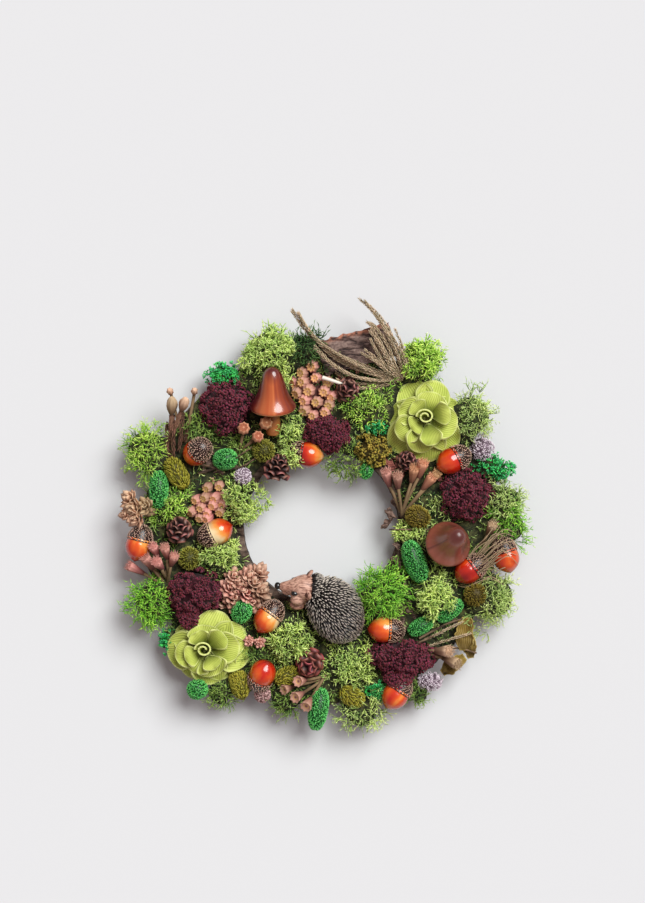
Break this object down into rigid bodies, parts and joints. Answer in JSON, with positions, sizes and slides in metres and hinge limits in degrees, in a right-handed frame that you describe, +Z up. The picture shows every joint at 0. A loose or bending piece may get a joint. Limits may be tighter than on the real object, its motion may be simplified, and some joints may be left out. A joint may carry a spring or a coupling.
{
  "type": "moss wreath",
  "caption": "Round woodland wreath: a flat-backed bark ring with moss, dyed flower heads, carved roses, acorns, cones, mushrooms, bud sprays, grass ears and a hedgehog figure.",
  "frame": {"origin": "centre of the wreath's bounding box, on the surface that its flat back rests on", "axes": "+Z up out of the flat back, +Y towards the bark slab and grass ears at the top of the wreath, +X to the right as seen from the front"},
  "size_m": [0.3144, 0.33, 0.0657],
  "materials": {
    "bark": "rough natural bark",
    "moss": "matte, preserved and dyed, in several greens",
    "burgundy_florets": "matte, dyed and dried",
    "olive_florets": "matte, dyed and dried",
    "globe_florets": "matte, dried",
    "emerald_florets": "matte, dyed and dried",
    "rose_petal": "satin, dyed and carved",
    "acorn_lacquer": "glossy nut, bronze beads on the cup",
    "cone_scale": "matte, natural",
    "mushroom_lacquer": "glossy clear lacquer over turned wood",
    "hedgehog_resin": "painted cast resin",
    "bud_husk": "matte, dried",
    "dry_grass": "matte, dried"
  },
  "bodies": {
    "root": {"acorn_1": "acorn_lacquer", "acorn_10": "acorn_lacquer", "acorn_11": "acorn_lacquer", "acorn_2": "acorn_lacquer", "acorn_3": "acorn_lacquer", "acorn_4": "acorn_lacquer", "acorn_5": "acorn_lacquer", "acorn_6": "acorn_lacquer", "acorn_7": "acorn_lacquer", "acorn_8": "acorn_lacquer", "acorn_9": "acorn_lacquer", "bark_ring": "bark", "bark_slab": "bark", "bud_spray_1": "bud_husk", "bud_spray_2": "bud_husk", "bud_spray_3": "bud_husk", "bud_spray_4": "bud_husk", "bud_spray_5": "bud_husk", "bud_spray_6": "bud_husk", "bud_spray_7": "bud_husk", "bud_spray_8": "bud_husk", "bud_spray_9": "bud_husk", "burgundy_head_1": "burgundy_florets", "burgundy_head_2": "burgundy_florets", "burgundy_head_3": "burgundy_florets", "burgundy_head_4": "burgundy_florets", "burgundy_head_5": "burgundy_florets", "emerald_head_1": "emerald_florets", "emerald_head_2": "emerald_florets", "emerald_head_3": "emerald_florets", "emerald_head_4": "emerald_florets", "emerald_head_5": "emerald_florets", "emerald_head_6": "emerald_florets", "emerald_head_7": "emerald_florets", "emerald_head_8": "emerald_florets", "globe_flower_1": "globe_florets", "globe_flower_2": "globe_florets", "grass_ears": "dry_grass", "hedgehog": "hedgehog_resin", "larch_cone_1": "cone_scale", "larch_cone_2": "cone_scale", "larch_cone_3": "cone_scale", "larch_cone_4": "cone_scale", "larch_cone_5": "cone_scale", "moss_east": "moss", "moss_north": "moss", "moss_south": "moss", "moss_west": "moss", "mushroom_1": "mushroom_lacquer", "mushroom_2": "mushroom_lacquer", "olive_canary_1": "olive_florets", "olive_canary_2": "olive_florets", "olive_canary_3": "olive_florets", "olive_canary_4": "olive_florets", "olive_canary_5": "olive_florets", "olive_canary_6": "olive_florets", "olive_canary_7": "olive_florets", "olive_head": "olive_florets", "rose_1": "rose_petal", "rose_2": "rose_petal"}
  },
  "joints": []
}
